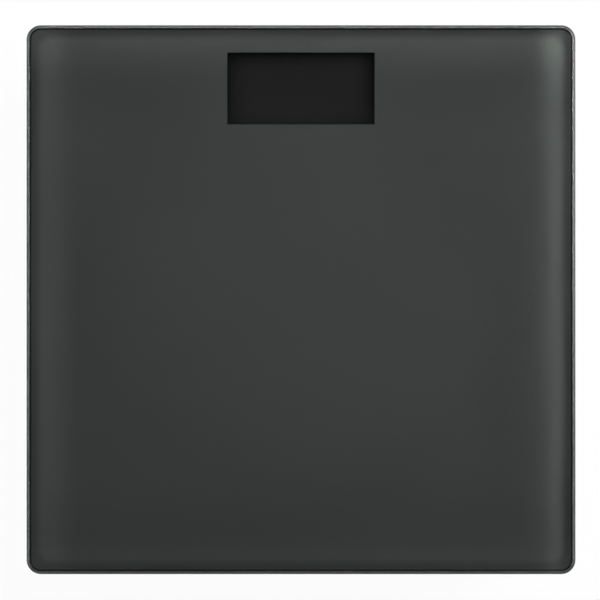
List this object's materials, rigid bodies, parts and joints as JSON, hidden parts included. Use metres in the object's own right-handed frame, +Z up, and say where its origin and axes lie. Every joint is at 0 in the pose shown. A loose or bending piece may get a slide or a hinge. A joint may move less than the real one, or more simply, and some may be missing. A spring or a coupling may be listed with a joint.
{
  "type": "digital bathroom scale",
  "caption": "Square glass-topped digital bathroom scale with a display window, load-cell feet and a hinged battery door underneath.",
  "frame": {"origin": "on the floor, under the middle of the square platform", "axes": "+Z up, +Y towards the display edge, +X to the right of someone who stands on the platform facing the display"},
  "size_m": [0.305, 0.305, 0.024],
  "materials": {
    "platform_glass": "clear tempered soda-lime glass, polished face, ground arris",
    "black_print": "charcoal ceramic ink fired on the underside of the glass",
    "foam_tape": "black closed-cell acrylic foam tape",
    "black_plastic": "fine-textured black ABS",
    "grey_plastic": "fine-textured dark grey ABS",
    "white_plastic": "white ABS",
    "cell_steel": "stamped alloy steel",
    "white_silicone": "white silicone over the strain gauge",
    "pad_rubber": "soft grey rubber",
    "lead_insulation": "PVC insulation",
    "display_glass": "dark LCD glass",
    "polariser_film": "dark polarising film",
    "connector_rubber": "layered conductive elastomer strip",
    "light_guide": "milky acrylic light guide",
    "board_laminate": "green solder mask on glass-epoxy laminate",
    "chip_epoxy": "black epoxy drop",
    "component_bodies": "moulded component bodies",
    "switch_plastic": "moulded switch plunger",
    "battery_wrap": "printed wrap on a steel can",
    "nickel_plate": "nickel-plated spring steel",
    "screw_steel": "zinc-plated steel"
  },
  "bodies": {
    "platform": {"glass_platform": "platform_glass", "printed_backing": "black_print", "housing_adhesive": "foam_tape", "display_housing": "black_plastic", "housing_cover": "black_plastic", "lcd_glass": "display_glass", "lcd_polarisers": "polariser_film", "lcd_holder": "white_plastic", "lcd_connector": "connector_rubber", "backlight_panel": "light_guide", "circuit_board": "board_laminate", "chip_coating": "chip_epoxy", "board_components": "component_bodies", "switch_body": "component_bodies", "batteries": "battery_wrap", "battery_springs": "nickel_plate", "battery_contacts": "nickel_plate", "battery_leads": "lead_insulation", "housing_screws": "screw_steel", "board_screws": "screw_steel", "foot_adhesive_front_left": "foam_tape", "sensor_cup_front_left": "black_plastic", "load_cell_front_left": "cell_steel", "gauge_coating_front_left": "white_silicone", "sensor_leads_front_left": "lead_insulation", "wire_cover_front_left": "black_plastic", "foot_adhesive_front_right": "foam_tape", "sensor_cup_front_right": "black_plastic", "load_cell_front_right": "cell_steel", "gauge_coating_front_right": "white_silicone", "sensor_leads_front_right": "lead_insulation", "wire_cover_front_right": "black_plastic", "foot_adhesive_rear_left": "foam_tape", "sensor_cup_rear_left": "black_plastic", "load_cell_rear_left": "cell_steel", "gauge_coating_rear_left": "white_silicone", "sensor_leads_rear_left": "lead_insulation", "wire_cover_rear_left": "black_plastic", "foot_adhesive_rear_right": "foam_tape", "sensor_cup_rear_right": "black_plastic", "load_cell_rear_right": "cell_steel", "gauge_coating_rear_right": "white_silicone", "sensor_leads_rear_right": "lead_insulation", "wire_cover_rear_right": "black_plastic"},
    "battery_door": {"battery_door": "black_plastic", "door_latch": "black_plastic"},
    "unit_button": {"unit_button": "grey_plastic", "switch_plunger": "switch_plastic"},
    "foot_front_left": {"foot_front_left": "grey_plastic", "foot_pad_front_left": "pad_rubber"},
    "foot_front_right": {"foot_front_right": "grey_plastic", "foot_pad_front_right": "pad_rubber"},
    "foot_rear_left": {"foot_rear_left": "grey_plastic", "foot_pad_rear_left": "pad_rubber"},
    "foot_rear_right": {"foot_rear_right": "grey_plastic", "foot_pad_rear_right": "pad_rubber"}
  },
  "joints": [
    {"name": "foot_front_left_press", "type": "slide", "parent": "platform", "child": "foot_front_left", "axis": [0, 0, 1], "range_m": [0, 0.0005], "stiffness_N_per_m": 2000, "springref_m": -0.0045, "deforming": ["load_cell_front_left"]},
    {"name": "foot_front_right_press", "type": "slide", "parent": "platform", "child": "foot_front_right", "axis": [0, 0, 1], "range_m": [0, 0.0005], "stiffness_N_per_m": 2000, "springref_m": -0.0045, "deforming": ["load_cell_front_right"]},
    {"name": "foot_rear_left_press", "type": "slide", "parent": "platform", "child": "foot_rear_left", "axis": [0, 0, 1], "range_m": [0, 0.0005], "stiffness_N_per_m": 2000, "springref_m": -0.0045, "deforming": ["load_cell_rear_left"]},
    {"name": "foot_rear_right_press", "type": "slide", "parent": "platform", "child": "foot_rear_right", "axis": [0, 0, 1], "range_m": [0, 0.0005], "stiffness_N_per_m": 2000, "springref_m": -0.0045, "deforming": ["load_cell_rear_right"]},
    {"name": "battery_door_hinge", "type": "hinge", "parent": "platform", "child": "battery_door", "pos_m": [0, 0.0547, 0.0045], "axis": [-1, 0, 0], "range_deg": [0, 95], "deforming": ["door_latch"]},
    {"name": "unit_button_press", "type": "slide", "parent": "platform", "child": "unit_button", "axis": [0, 0, 1], "range_m": [0, 0.0003], "stiffness_N_per_m": 500, "springref_m": -0.003}
  ]
}
